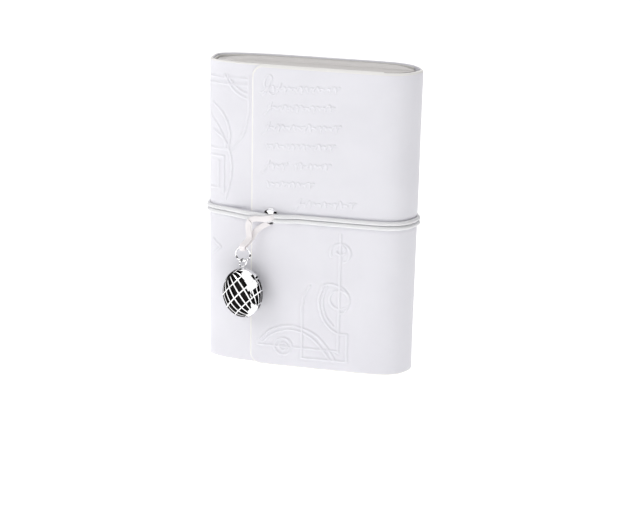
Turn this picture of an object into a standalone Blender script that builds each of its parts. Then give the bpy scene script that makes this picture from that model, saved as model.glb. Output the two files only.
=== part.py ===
# Pocket journal with a wrap-round soft leather cover, an elastic cord closure on a grooved
# stud, and a globe charm on a leather lace. It stands upright with its spine at -X, its
# fore-edge at +X and its front facing -Y. The origin is on the standing edge of the back
# cover, at mid-width and half way through the leather.
import math

import bmesh
import bpy
from mathutils import Matrix, Vector

# ---- driving dimensions, in metres ------------------------------------------------------
HEIGHT = 0.170
WIDTH = 0.1143
THICKNESS = 0.0291
LEATHER = 0.0017
GAP = 0.0003

# The plan outline is a superellipse: blunt and round at the spine, a soft wedge at the fore-edge.
SPINE_POWERS = (2.912, 3.986)
FORE_EDGE_POWERS = (8.45, 1.345)

FLAP_FREE_X = -0.0317
FLAP_CORNER = 0.0062
FRONT_COVER_END_X = 0.0380

SHEET_RECESS = 0.0008
LAYERS = 4
ENDPAPER = 0.0005
THREAD_RADIUS = 0.0004
GUTTER = 0.0014

CORD_RADIUS = 0.00115
CORD_PITCH = 0.0026
CORD_Z = 0.0870
CORD_SPLIT_X = -0.0340

STUD_X = -0.0203
STUD_Z = 0.0874
STUD_RADIUS = 0.0046
STUD_DOME = 0.0050
STUD_FLOOR = 0.0008
POST_RADIUS = 0.0014
WASHER_RADIUS = 0.0032
WASHER = 0.0006

LACE_WIDTH = 0.0031
LACE = 0.0010

CHARM_X = -0.0338
RING_RADIUS = 0.0040
RING_WIRE = 0.00045
BAIL_RADIUS = 0.00215
BAIL_WIRE = 0.00040
BAIL_TURN = math.radians(45)
GLOBE = (0.0116, 0.0070, 0.0146)
GLOBE_Z = 0.0446
CAGE_SKIN = 0.90
CORE_SKIN = 0.83
LAND_SKIN = (0.965, 1.0)

# ---- worked out from them ---------------------------------------------------------------
HALF_W = WIDTH / 2
HALF_T = THICKNESS / 2
MID_Y = -(HALF_T - LEATHER / 2)
FRONT_T = HALF_T - LEATHER - GAP
REAR, FRONT = 1, -1
COVER_FRONT_Y = MID_Y - HALF_T


def clear_scene():
    for obj in list(bpy.data.objects):
        bpy.data.objects.remove(obj)


def material(name, colour, roughness, metallic=0.0):
    mat = bpy.data.materials.new(name)
    mat.use_nodes = True
    shader = mat.node_tree.nodes["Principled BSDF"]
    shader.inputs["Base Color"].default_value = (*colour, 1.0)
    shader.inputs["Roughness"].default_value = roughness
    shader.inputs["Metallic"].default_value = metallic
    return mat


def add_object(name, mesh, mat, smooth=True):
    obj = bpy.data.objects.new(name, mesh)
    bpy.context.scene.collection.objects.link(obj)
    mesh.materials.append(mat)
    if smooth:
        mesh.shade_smooth()
        mesh.set_sharp_from_angle(angle=math.radians(35))
    return obj


def hinge_empty(name, x, y, z):
    empty = bpy.data.objects.new(name, None)
    empty.location = (x, y, z)
    bpy.context.scene.collection.objects.link(empty)
    return empty


def hang_on(obj, empty):
    """Parents a piece to its hinge, leaving the piece where it is."""
    obj.parent = empty
    obj.matrix_parent_inverse = Matrix.Translation(-empty.location)


# ---- plan outlines ----------------------------------------------------------------------
def outline_x(t, half_w):
    power = FORE_EDGE_POWERS[0] if math.cos(t) > 0 else SPINE_POWERS[0]
    return math.copysign(half_w * abs(math.cos(t)) ** (2 / power), math.cos(t))


def outline_y(t, half_t):
    power = FORE_EDGE_POWERS[1] if math.cos(t) > 0 else SPINE_POWERS[1]
    return half_t * max(math.sin(t), 0.0) ** (2 / power)


def outline_t(x, half_w):
    """The outline's parameter at which it reaches x."""
    power = FORE_EDGE_POWERS[0] if x > 0 else SPINE_POWERS[0]
    return math.acos(math.copysign(min(abs(x) / half_w, 1.0) ** (power / 2), x))


def height_t(y, half_t):
    """The outline's parameter on the fore-edge side at which it is y from the middle."""
    return math.asin(min(y / half_t, 1.0) ** (FORE_EDGE_POWERS[1] / 2))


def arc_of_outline(half_w, half_t, t_from, t_to, steps):
    """Points (x, distance from the middle plane) along one superellipse."""
    lowest = height_t(GAP / 2, half_t)
    t_from, t_to = max(t_from, lowest), max(t_to, lowest)
    points = []
    for i in range(steps + 1):
        t = t_from + (t_to - t_from) * i / steps
        points.append((outline_x(t, half_w), max(outline_y(t, half_t), GAP / 2)))
    return points


def prism(name, plan, side, z_low, z_high, mat):
    """Stands a plan polygon of (x, distance from the middle plane) up between two heights."""
    mesh = bpy.data.meshes.new(name)
    bm = bmesh.new()
    ring = [bm.verts.new((x, MID_Y + side * y, z_low)) for x, y in plan]
    base = bm.faces.new(ring)
    grown = bmesh.ops.extrude_face_region(bm, geom=[base])
    top = [v for v in grown["geom"] if isinstance(v, bmesh.types.BMVert)]
    bmesh.ops.translate(bm, verts=top, vec=(0, 0, z_high - z_low))
    bmesh.ops.recalc_face_normals(bm, faces=bm.faces)
    bm.to_mesh(mesh)
    bm.free()
    return add_object(name, mesh, mat)


def shell_plan(half_w, half_t, thick, x_from, x_to, steps=44):
    """One half of a wrap of leather or paper between two nested outlines."""
    outer = arc_of_outline(half_w, half_t, outline_t(x_from, half_w), outline_t(x_to, half_w), steps)
    inner_w = half_w - thick
    t_low = outline_t(max(x_from, -inner_w), inner_w)
    t_high = outline_t(min(x_to, inner_w), inner_w)
    inner = arc_of_outline(inner_w, half_t - thick, t_low, t_high, steps)
    return outer + inner[::-1]


def layer_plan(shift, half_t, thick, wedge_w, wedge_t):
    """One half of a folded gathering: a round fold at the spine, and a trimmed fore-edge.

    The inner gatherings are nested in the outer ones, so each one reaches further into the wedge.
    """
    outer_w = HALF_W - shift
    inner_t = half_t - thick
    end_x = outline_x(height_t(half_t - thick / 2, wedge_t), wedge_w)
    fold = arc_of_outline(outer_w, half_t, math.pi, math.pi / 2, 14)
    side = arc_of_outline(wedge_w, half_t, math.pi / 2, outline_t(end_x, wedge_w), 10)
    plan = fold + side[1:]
    if inner_t > GAP:
        side = arc_of_outline(wedge_w, inner_t, outline_t(end_x, wedge_w), math.pi / 2, 10)
        return plan + side[:-1] + arc_of_outline(outer_w - thick, inner_t, math.pi / 2, math.pi, 14)
    gutter_x = -outer_w + thick
    plan.append((end_x, GAP / 2))
    plan += [(gutter_x + 0.004, GAP / 2), (gutter_x + 0.003, GUTTER / 2), (gutter_x, GUTTER / 2)]
    return plan + [(gutter_x - 0.001, GAP / 2)]


def cut(obj, cutter):
    """Takes the cutter's volume out of an object with an exact Boolean."""
    cutter.hide_render = True
    cutter.display_type = "WIRE"
    modifier = obj.modifiers.new("cut_" + cutter.name, "BOOLEAN")
    modifier.object = cutter
    modifier.operation = "DIFFERENCE"
    modifier.solver = "EXACT"


def disc_mesh(name, radius, y_near, y_far, x, z, segments=24):
    """A round plate or rod along Y."""
    mesh = bpy.data.meshes.new(name)
    bm = bmesh.new()
    bmesh.ops.create_circle(bm, cap_ends=True, radius=radius, segments=segments)
    bmesh.ops.rotate(bm, verts=bm.verts, cent=(0, 0, 0), matrix=Matrix.Rotation(math.pi / 2, 3, "X"))
    bmesh.ops.translate(bm, verts=bm.verts, vec=(x, y_near, z))
    grown = bmesh.ops.extrude_face_region(bm, geom=bm.faces[:])
    top = [v for v in grown["geom"] if isinstance(v, bmesh.types.BMVert)]
    bmesh.ops.translate(bm, verts=top, vec=(0, y_far - y_near, 0))
    bmesh.ops.recalc_face_normals(bm, faces=bm.faces)
    bm.to_mesh(mesh)
    bm.free()
    return mesh


def corner_cutter(name, x, z, up):
    """The waste outside a rounded corner at the flap's free edge."""
    points = [(x - 0.002, z + up * 0.002), (x + FLAP_CORNER, z + up * 0.002)]
    for i in range(9):
        angle = math.pi / 2 * i / 8
        px = x + FLAP_CORNER - FLAP_CORNER * math.sin(angle)
        pz = z - up * (FLAP_CORNER - FLAP_CORNER * math.cos(angle))
        points.append((px, pz))
    points.append((x - 0.002, z - up * FLAP_CORNER))
    mesh = bpy.data.meshes.new(name)
    bm = bmesh.new()
    face = bm.faces.new([bm.verts.new((px, COVER_FRONT_Y - 0.002, pz)) for px, pz in points])
    grown = bmesh.ops.extrude_face_region(bm, geom=[face])
    far = [v for v in grown["geom"] if isinstance(v, bmesh.types.BMVert)]
    bmesh.ops.translate(bm, verts=far, vec=(0, 0.008, 0))
    bmesh.ops.recalc_face_normals(bm, faces=bm.faces)
    bm.to_mesh(mesh)
    bm.free()
    obj = bpy.data.objects.new(name, mesh)
    bpy.context.scene.collection.objects.link(obj)
    return obj


# ---- covers -----------------------------------------------------------------------------
def flap_y(x, proud=0.0):
    """Y of the flap's outer face at x, moved out by proud."""
    return MID_Y - outline_y(outline_t(x, HALF_W), HALF_T) - proud


def front_y(x, proud=0.0):
    """Y of the front cover's outer face at x, moved out by proud."""
    return MID_Y - outline_y(outline_t(x, HALF_W), FRONT_T) - proud


def make_covers(leather, spine_axis, fore_edge_axis):
    back = shell_plan(HALF_W, HALF_T, LEATHER, -HALF_W, HALF_W)
    prism("back_cover", back, REAR, 0, HEIGHT, leather)
    front = shell_plan(HALF_W, FRONT_T, LEATHER, -HALF_W, FRONT_COVER_END_X)
    hang_on(prism("front_cover", front, FRONT, 0, HEIGHT, leather), spine_axis)
    plan = shell_plan(HALF_W, HALF_T, LEATHER, FLAP_FREE_X, HALF_W)
    flap = prism("flap", plan, FRONT, 0, HEIGHT, leather)
    hang_on(flap, fore_edge_axis)
    cut(flap, corner_cutter("flap_corner_top", FLAP_FREE_X, HEIGHT, 1))
    cut(flap, corner_cutter("flap_corner_bottom", FLAP_FREE_X, 0, -1))
    face = flap_y(STUD_X)
    for name, radius, depth in (("post_hole", POST_RADIUS + GAP, 0.006), ("washer_seat", WASHER_RADIUS + GAP, 0.0009)):
        inner = face + LEATHER + 0.001
        near = inner - 0.001 - depth
        mesh = disc_mesh(name, radius, near, inner, STUD_X, STUD_Z)
        cutter = bpy.data.objects.new(name, mesh)
        bpy.context.scene.collection.objects.link(cutter)
        cut(flap, cutter)
    return flap


# ---- paper ------------------------------------------------------------------------------
def make_paper(paper, endpaper, thread, spine_axis):
    low, high = SHEET_RECESS, HEIGHT - SHEET_RECESS
    for name, side, room, end_x in (("rear", REAR, HALF_T, HALF_W), ("front", FRONT, FRONT_T, FRONT_COVER_END_X)):
        shift = LEATHER + GAP
        lining_t = room - shift
        plan = shell_plan(HALF_W - shift, lining_t, ENDPAPER, -HALF_W + shift, min(end_x, HALF_W - 0.006))
        lining = prism("endpaper_" + name, plan, side, low, high, endpaper)
        shift += ENDPAPER + GAP
        depth = room - shift
        thick = depth / LAYERS
        wedge_w = HALF_W - LEATHER - ENDPAPER - 3 * GAP
        wedge_t = HALF_T - LEATHER - ENDPAPER - 3 * GAP
        if side == FRONT:
            hang_on(lining, spine_axis)
        for k in range(LAYERS):
            plan = layer_plan(shift + k * thick, depth - k * thick, thick - GAP * (k < LAYERS - 1), wedge_w, wedge_t)
            layer = prism(f"sheets_{name}_{k + 1}", plan, side, low, high, paper)
            if side == FRONT:
                hang_on(layer, spine_axis)
    x = -HALF_W + LEATHER + ENDPAPER + 3 * GAP + HALF_T - LEATHER
    rail = [(x, MID_Y, low + 0.02), (x, MID_Y, high - 0.02)]
    tube("binding_thread", rail, THREAD_RADIUS, thread)


# ---- cord -------------------------------------------------------------------------------
def smooth_stations(stations, step):
    """Stations of (point, direction) a step apart on a smooth curve through the given ones."""
    route = []
    last = len(stations) - 1
    for i in range(last):
        before, after = stations[max(i - 1, 0)][0], stations[min(i + 2, last)][0]
        a, b = stations[i][0], stations[i + 1][0]
        count = max(1, round((b - a).length / step))
        for j in range(count):
            s = j / count
            spot = a * (2 * s**3 - 3 * s**2 + 1) + b * (3 * s**2 - 2 * s**3)
            spot += (b - before) / 2 * (s**3 - 2 * s**2 + s) + (after - a) / 2 * (s**3 - s**2)
            route.append((spot, stations[i][1].lerp(stations[i + 1][1], s)))
    route.append(stations[-1])
    return route


def smooth_route(points, step):
    """Points a step apart on a smooth curve through the given ones."""
    return [spot for spot, _ in smooth_stations([(point, Vector()) for point in points], step)]


def tube(name, points, radius, mat, resolution=2):
    """A round tube with capped ends along a list of points."""
    curve = bpy.data.curves.new(name, "CURVE")
    curve.dimensions = "3D"
    curve.bevel_depth = radius
    curve.bevel_resolution = resolution
    curve.use_fill_caps = True
    spline = curve.splines.new("POLY")
    spline.points.add(len(points) - 1)
    for target, point in zip(spline.points, points):
        target.co = (*point, 1.0)
    obj = bpy.data.objects.new(name, curve)
    bpy.context.scene.collection.objects.link(obj)
    curve.materials.append(mat)
    return obj


def two_strands(name, route, mat, hinge=None):
    """The doubled cord: the same route for an upper and a lower strand."""
    for label, lift in (("upper", CORD_PITCH / 2), ("lower", -CORD_PITCH / 2)):
        points = [Vector((p.x, p.y, CORD_Z + lift)) for p in route]
        strand = tube(f"{name}_{label}", points, CORD_RADIUS, mat)
        if hinge:
            hang_on(strand, hinge)


CORD_OUT = CORD_RADIUS + GAP + 0.0001
STUD_FACE = STUD_FLOOR + 2 * GAP + CORD_RADIUS + 0.0001


def wrap_point(t, half_t, side):
    """A point on the cord's route round the cover."""
    x = outline_x(t, HALF_W + CORD_OUT)
    return Vector((x, MID_Y + side * outline_y(t, half_t + CORD_OUT), CORD_Z))


def make_cord(elastic, spine_axis, fore_edge_axis, loop_axis):
    spread = [math.pi * i / 30 for i in range(31)]
    nip = 0.00025
    rear = [wrap_point(t, HALF_T, REAR) for t in spread]
    rear[0].y = rear[-1].y = MID_Y + nip
    two_strands("cord_back", rear, elastic)

    stop = outline_t(-0.0365, HALF_W + CORD_OUT)
    left = [wrap_point(math.pi - (math.pi - stop) * i / 12, FRONT_T, FRONT) for i in range(13)]
    left[0].y = MID_Y - nip
    left.append(Vector((CORD_SPLIT_X - 3 * GAP, flap_y(CORD_SPLIT_X, CORD_OUT - 0.0008), CORD_Z)))
    two_strands("cord_front", left, elastic, spine_axis)

    stud_y = flap_y(STUD_X, STUD_FACE)
    loop = [
        Vector((CORD_SPLIT_X, flap_y(CORD_SPLIT_X, CORD_OUT - 0.0002), 0)),
        Vector((-0.0310, flap_y(-0.0310, CORD_OUT + 0.0001), 0)),
        Vector((-0.0275, flap_y(-0.0275, CORD_OUT + 0.0006), 0)),
        Vector((STUD_X - 0.0030, stud_y, 0)),
        Vector((STUD_X - 0.0003, stud_y, 0)),
    ]
    upper = [p + Vector((0, 0, CORD_Z + CORD_PITCH / 2)) for p in smooth_route(loop, 0.0015)]
    lower = [Vector((p.x, p.y, p.z - CORD_PITCH)) for p in reversed(upper)]
    turn = []
    for i in range(1, 6):
        angle = math.pi / 2 - math.pi * i / 6
        offset = Vector((math.cos(angle), 0, math.sin(angle))) * CORD_PITCH / 2
        turn.append(Vector((STUD_X - 0.0003, stud_y, CORD_Z)) + offset)
    hang_on(tube("cord_loop", upper + turn + lower, CORD_RADIUS, elastic), loop_axis)

    start_x = STUD_X - 0.0003 + CORD_PITCH / 2 + CORD_RADIUS + GAP
    lift = [
        Vector((start_x, stud_y, CORD_Z)),
        Vector((STUD_X + 0.0048, stud_y, CORD_Z)),
        Vector((STUD_X + 0.0085, flap_y(-0.0118, CORD_OUT + 0.0004), CORD_Z)),
        Vector((STUD_X + 0.0130, flap_y(-0.0073, CORD_OUT), CORD_Z)),
    ]
    right = smooth_route(lift, 0.0015)
    t_far = outline_t(-0.0040, HALF_W + CORD_OUT)
    right += [wrap_point(t_far * (1 - i / 18), HALF_T, FRONT) for i in range(19)]
    right[-1].y = MID_Y - nip
    two_strands("cord_flap", right, elastic, fore_edge_axis)


# ---- stud -------------------------------------------------------------------------------
def make_stud(silver, fore_edge_axis):
    base_y = flap_y(STUD_X) - GAP
    profile = [(0, base_y), (STUD_RADIUS, base_y), (STUD_RADIUS, base_y - 0.0005)]
    for i in range(1, 9):
        angle = math.pi / 2 * i / 8
        profile.append((STUD_RADIUS * math.cos(angle), base_y - 0.0005 - (STUD_DOME - 0.0005) * math.sin(angle)))
    cap = lathe("stud_cap", profile, STUD_X, STUD_Z, silver)
    groove = bpy.data.meshes.new("groove")
    bm = bmesh.new()
    bmesh.ops.create_cube(bm, size=1.0)
    tall = CORD_PITCH + 2 * CORD_RADIUS + 2 * GAP
    bmesh.ops.scale(bm, verts=bm.verts, vec=(0.02, 0.01, tall))
    floor_y = base_y - STUD_FLOOR
    bmesh.ops.translate(bm, verts=bm.verts, vec=(STUD_X, floor_y - 0.005, CORD_Z))
    bm.to_mesh(groove)
    bm.free()
    cutter = bpy.data.objects.new("groove", groove)
    bpy.context.scene.collection.objects.link(cutter)
    cut(cap, cutter)
    hang_on(cap, fore_edge_axis)

    inner_y = flap_y(STUD_X) + LEATHER
    post_mesh = disc_mesh("stud_post", POST_RADIUS, base_y + GAP, inner_y - 0.0009, STUD_X, STUD_Z, 16)
    hang_on(add_object("stud_post", post_mesh, silver), fore_edge_axis)
    washer_y = inner_y - 0.0009 + GAP / 2
    washer = disc_mesh("stud_washer", WASHER_RADIUS, washer_y, washer_y + WASHER, STUD_X, STUD_Z)
    hang_on(add_object("stud_washer", washer, silver), fore_edge_axis)


def lathe(name, profile, x, z, mat, segments=28):
    """Turns a profile of (radius, y) about an axis along Y."""
    mesh = bpy.data.meshes.new(name)
    bm = bmesh.new()
    edges = []
    verts = [bm.verts.new((radius, y, 0)) for radius, y in profile]
    for a, b in zip(verts, verts[1:]):
        edges.append(bm.edges.new((a, b)))
    geom = bm.verts[:] + edges
    bmesh.ops.spin(bm, geom=geom, cent=(0, 0, 0), axis=(0, 1, 0), angle=math.tau, steps=segments, use_merge=True)
    bmesh.ops.remove_doubles(bm, verts=bm.verts, dist=1e-6)
    bmesh.ops.translate(bm, verts=bm.verts, vec=(x, 0, z))
    bmesh.ops.recalc_face_normals(bm, faces=bm.faces)
    bm.to_mesh(mesh)
    bm.free()
    return add_object(name, mesh, mat)


# ---- charm ------------------------------------------------------------------------------
CHARM_Y = COVER_FRONT_Y - 0.0004 - GLOBE[1]
BAIL_Z = GLOBE_Z + GLOBE[2] + GAP + BAIL_RADIUS + BAIL_WIRE
RING_BOTTOM_Z = BAIL_Z + BAIL_RADIUS - BAIL_WIRE - GAP - RING_WIRE
RING_Z = RING_BOTTOM_Z + RING_RADIUS
LACE_X = CHARM_X


def ring(name, radius, wire, centre, turned, mat, around=28, section=8):
    """A closed upright wire ring, turned about Z from the plane of the cover."""
    mesh = bpy.data.meshes.new(name)
    bm = bmesh.new()
    rows = []
    for i in range(around):
        angle = math.tau * i / around
        row = []
        for j in range(section):
            around_wire = math.tau * j / section
            reach = radius + wire * math.cos(around_wire)
            side = wire * math.sin(around_wire)
            spot = Vector((reach * math.cos(angle), side, reach * math.sin(angle)))
            row.append(bm.verts.new(Matrix.Rotation(turned, 3, "Z") @ spot + centre))
        rows.append(row)
    for i in range(around):
        for j in range(section):
            a, b = rows[i], rows[(i + 1) % around]
            bm.faces.new((a[j], b[j], b[(j + 1) % section], a[(j + 1) % section]))
    bmesh.ops.recalc_face_normals(bm, faces=bm.faces)
    bm.to_mesh(mesh)
    bm.free()
    return add_object(name, mesh, mat)


def ribbon(name, stations, width, thick, mat):
    """A flat strap through stations of (centre, direction across the strap)."""
    mesh = bpy.data.meshes.new(name)
    bm = bmesh.new()
    rows = []
    last = len(stations) - 1
    for i, (centre, across) in enumerate(stations):
        along = (stations[min(i + 1, last)][0] - stations[max(i - 1, 0)][0]).normalized()
        across = (across - along * across.dot(along)).normalized()
        out = along.cross(across)
        row = []
        for sx, sy in ((-1, -1), (1, -1), (1, 1), (-1, 1)):
            row.append(bm.verts.new(centre + across * sx * width / 2 + out * sy * thick / 2))
        rows.append(row)
    for a, b in zip(rows, rows[1:]):
        for j in range(4):
            k = (j + 1) % 4
            bm.faces.new((a[j], a[k], b[k], b[j]))
    bm.faces.new(rows[0])
    bm.faces.new(rows[-1][::-1])
    bmesh.ops.triangulate(bm, faces=bm.faces)
    bmesh.ops.recalc_face_normals(bm, faces=bm.faces)
    bm.to_mesh(mesh)
    bm.free()
    return add_object(name, mesh, mat)


def lace_stations():
    """The lace's two legs leave the stud's left side, close up, and turn through the jump ring."""
    over = flap_y(STUD_X, STUD_FACE + CORD_RADIUS + GAP + LACE / 2 + 0.0003)
    wire_top = RING_Z + RING_RADIUS
    bend = RING_WIRE + GAP + LACE / 2 + 0.0001
    across_x = Vector((1, 0, 0))
    down = Vector((0.1, 0, -1))
    stations = [
        (Vector((STUD_X - 0.0055, over, CORD_Z - 0.0002)), down),
        (Vector((STUD_X - 0.0080, over - 0.0002, CORD_Z - 0.0003)), down),
        (Vector((STUD_X - 0.0104, over - 0.0004, CORD_Z - 0.0016)), Vector((-0.6, 0, -0.8))),
        (Vector((STUD_X - 0.0113, over - 0.0006, CORD_Z - 0.0044)), Vector((-1, 0, -0.2))),
        (Vector((STUD_X - 0.0108, over - 0.0010, CORD_Z - 0.0080)), Vector((-1, 0, 0.1))),
        (Vector((STUD_X - 0.0108, over - 0.0016, CORD_Z - 0.0115)), Vector((-1, 0, 0.2))),
        (Vector((LACE_X + 0.0006, CHARM_Y - bend - 0.0002, wire_top + 0.0016)), -across_x),
    ]
    for i in range(7):
        angle = math.pi * i / 6
        y = CHARM_Y - bend * math.cos(angle)
        stations.append((Vector((LACE_X, y, wire_top - bend * math.sin(angle) * 1.3)), -across_x))
    stations += [
        (Vector((LACE_X + 0.0006, CHARM_Y + bend + 0.0002, wire_top + 0.0016)), -across_x),
        (Vector((STUD_X - 0.0096, over + 0.0004, CORD_Z - 0.0110)), Vector((-1, 0, 0.4))),
        (Vector((STUD_X - 0.0075, over + 0.0016, CORD_Z - 0.0078)), Vector((-0.8, 0, 0.6))),
        (Vector((STUD_X - 0.0052, over + 0.0027, CORD_Z - 0.0056)), Vector((-0.7, 0, 0.7))),
    ]
    return stations


def ellipsoid(name, sizes, centre, mat, segments=20, rings=14):
    mesh = bpy.data.meshes.new(name)
    bm = bmesh.new()
    bmesh.ops.create_uvsphere(bm, u_segments=segments, v_segments=rings, radius=1.0)
    bmesh.ops.scale(bm, verts=bm.verts, vec=sizes)
    bmesh.ops.translate(bm, verts=bm.verts, vec=centre)
    bm.to_mesh(mesh)
    bm.free()
    return add_object(name, mesh, mat)


def globe_spot(centre, lon, lat, skin):
    """A point on the globe at a longitude and latitude, skin times its surface's size."""
    spot = (math.sin(lon) * math.cos(lat), -math.cos(lon) * math.cos(lat), math.sin(lat))
    return [centre[k] + GLOBE[k] * skin * spot[k] for k in range(3)]


def land_patch(name, centre, middle, reach, mat, steps=18):
    """A raised patch of land on the globe: a slab that follows its surface, with a wavy shore."""
    mesh = bpy.data.meshes.new(name)
    bm = bmesh.new()
    shores = []
    for skin in LAND_SKIN:
        hub = bm.verts.new(globe_spot(centre, *middle, skin))
        rings = []
        for share in (0.5, 1.0):
            row = []
            for i in range(steps):
                angle = math.tau * i / steps
                wave = share * (1 + 0.18 * math.sin(3 * angle + 1) + 0.10 * math.sin(5 * angle))
                lon = middle[0] + reach[0] * wave * math.cos(angle)
                lat = middle[1] + reach[1] * wave * math.sin(angle)
                row.append(bm.verts.new(globe_spot(centre, lon, lat, skin)))
            rings.append(row)
        for i in range(steps):
            k = (i + 1) % steps
            bm.faces.new((hub, rings[0][i], rings[0][k]))
            bm.faces.new((rings[0][i], rings[1][i], rings[1][k], rings[0][k]))
        shores.append(rings[1])
    for i in range(steps):
        k = (i + 1) % steps
        bm.faces.new((shores[0][i], shores[1][i], shores[1][k], shores[0][k]))
    bmesh.ops.recalc_face_normals(bm, faces=bm.faces)
    bm.to_mesh(mesh)
    bm.free()
    return add_object(name, mesh, mat)


def make_charm(lace, silver, dark):
    lace_axis = hinge_empty("lace_axis", STUD_X - 0.0085, CHARM_Y, CORD_Z - 0.003)
    ring_axis = hinge_empty("ring_axis", CHARM_X, CHARM_Y, RING_Z + RING_RADIUS)
    globe_axis = hinge_empty("globe_axis", CHARM_X, CHARM_Y, RING_BOTTOM_Z)
    strap = ribbon("charm_lace", smooth_stations(lace_stations(), 0.0011), LACE_WIDTH, LACE, lace)
    hang_on(strap, lace_axis)
    centre = Vector((CHARM_X, CHARM_Y, RING_Z))
    hang_on(ring("jump_ring", RING_RADIUS, RING_WIRE, centre, 0, silver), ring_axis)
    centre = Vector((CHARM_X, CHARM_Y, BAIL_Z))
    pieces = [ring("charm_bail", BAIL_RADIUS, BAIL_WIRE, centre, BAIL_TURN, silver, 20)]
    centre = Vector((CHARM_X, CHARM_Y, GLOBE_Z))
    core = tuple(s * CORE_SKIN for s in GLOBE)
    pieces.append(ellipsoid("globe_core", core, centre, dark))
    cage = ellipsoid("globe_cage", tuple(s * CAGE_SKIN for s in GLOBE), centre, silver, 16, 12)
    wires = cage.modifiers.new("bars", "WIREFRAME")
    wires.thickness = 0.0008
    wires.use_even_offset = False
    pieces.append(cage)
    pieces.append(land_patch("globe_land_north", centre, (0.55, 0.55), (0.42, 0.46), silver))
    pieces.append(land_patch("globe_land_south", centre, (0.42, -0.80), (0.34, 0.30), silver))
    for piece in pieces:
        hang_on(piece, globe_axis)


def main():
    clear_scene()
    leather = material("white_leather", (0.83, 0.83, 0.86), 0.5)
    paper = material("page_paper", (0.70, 0.69, 0.67), 0.85)
    endpaper = material("end_paper", (0.78, 0.77, 0.74), 0.8)
    thread = material("linen_thread", (0.75, 0.73, 0.68), 0.8)
    elastic = material("white_cord", (0.86, 0.86, 0.87), 0.45)
    lace = material("lace_leather", (0.86, 0.84, 0.83), 0.55)
    silver = material("polished_silver", (0.80, 0.80, 0.80), 0.12, 1.0)
    dark = material("blackened_silver", (0.015, 0.014, 0.014), 0.35, 0.3)
    spine_axis = hinge_empty("spine_axis", -HALF_W - GAP, MID_Y, 0)
    fore_edge_axis = hinge_empty("fore_edge_axis", HALF_W + GAP, MID_Y, 0)
    make_covers(leather, spine_axis, fore_edge_axis)
    make_paper(paper, endpaper, thread, spine_axis)
    loop_axis = hinge_empty("cord_loop_axis", CORD_SPLIT_X, flap_y(CORD_SPLIT_X, CORD_OUT), CORD_Z)
    make_cord(elastic, spine_axis, fore_edge_axis, loop_axis)
    make_stud(silver, fore_edge_axis)
    make_charm(lace, silver, dark)


main()
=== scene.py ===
# %% [markdown]
# # A wrap-cover pocket journal
# The journal is a thick bundle of folded sheets in one soft piece of white leather. The leather
# starts as the front cover, turns round the spine, becomes the back, turns round the fore-edge
# and ends as a flap over the front. A doubled cord holds it shut over a metal stud, and a small
# globe hangs from the stud on a lace. The working model of all this is loaded first as a fixed
# frame; this notebook then builds the surfaces that are seen, piece by piece, around it.

# %% Load the working model
import math

import bmesh
import bpy
import numpy as np
from mathutils import Matrix, Vector


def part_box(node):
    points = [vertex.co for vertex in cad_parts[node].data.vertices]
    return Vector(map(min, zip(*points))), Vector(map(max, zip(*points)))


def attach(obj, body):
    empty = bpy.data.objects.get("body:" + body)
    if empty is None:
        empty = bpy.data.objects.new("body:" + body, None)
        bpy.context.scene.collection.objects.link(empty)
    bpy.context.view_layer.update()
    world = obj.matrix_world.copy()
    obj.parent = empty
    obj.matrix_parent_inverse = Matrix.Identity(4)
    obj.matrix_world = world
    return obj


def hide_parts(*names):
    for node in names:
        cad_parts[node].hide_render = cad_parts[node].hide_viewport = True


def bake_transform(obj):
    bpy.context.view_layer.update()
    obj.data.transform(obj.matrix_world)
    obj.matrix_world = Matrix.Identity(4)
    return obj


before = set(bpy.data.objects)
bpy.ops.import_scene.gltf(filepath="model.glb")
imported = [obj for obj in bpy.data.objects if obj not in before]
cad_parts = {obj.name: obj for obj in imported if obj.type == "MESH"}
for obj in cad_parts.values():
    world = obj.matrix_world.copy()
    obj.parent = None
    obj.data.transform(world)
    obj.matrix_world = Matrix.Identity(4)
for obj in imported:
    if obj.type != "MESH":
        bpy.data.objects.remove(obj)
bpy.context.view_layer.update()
MM = 0.001

# %% [markdown]
# ## Sizes
# A maker measures the working model instead of repeating its numbers. Each node can say the box
# that it fills, so the height, width and depth of the book come from the covers, and the places of
# the stud, ring and globe come from their own nodes.

# %% Measure the covers and the metal
back_low, back_high = (Vector(p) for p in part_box("back_cover"))
front_low, front_high = (Vector(p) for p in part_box("front_cover"))
HEIGHT = back_high.z
HALF_W = back_high.x
HALF_GAP = 0.15 * MM
MID_Y = back_low.y - HALF_GAP
HALF_T = back_high.y - MID_Y
FRONT_T = MID_Y - front_low.y
LEATHER = 1.7 * MM
FLAP_FREE_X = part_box("flap")[0][0]
FRONT_END_X = front_high.x
print(f"cover {2 * HALF_W / MM:.1f} by {2 * HALF_T / MM:.1f} by {HEIGHT / MM:.0f} mm")


def middle(node):
    """The middle of the box that a node fills."""
    low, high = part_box(node)
    return (Vector(low) + Vector(high)) / 2


# %% [markdown]
# ## The plan outline
# Seen from above, the book is blunt at the spine and comes to a soft wedge at the fore-edge. A
# superellipse gives both ends from one formula, with one pair of powers for each end. It can be
# asked for y at an x along the flat sides, and for x at a y round the steep ends, where the first
# question has a poor answer.

# %% Outline of the wrap in plan
SPINE, FORE_EDGE = (2.912, 3.986), (8.45, 1.345)
STEEP_SHARE = 0.8


def depth_at(x, half_w, half_t):
    """Distance of the outline from the middle plane at x."""
    n, m = FORE_EDGE if x > 0 else SPINE
    return half_t * max(1 - min(abs(x) / half_w, 1.0) ** n, 0.0) ** (1 / m)


def reach_at(depth, half_w, half_t, powers):
    """Distance of the outline from the centre line of the width at a depth."""
    n, m = powers
    return half_w * max(1 - min(abs(depth) / half_t, 1.0) ** m, 0.0) ** (1 / n)


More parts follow.
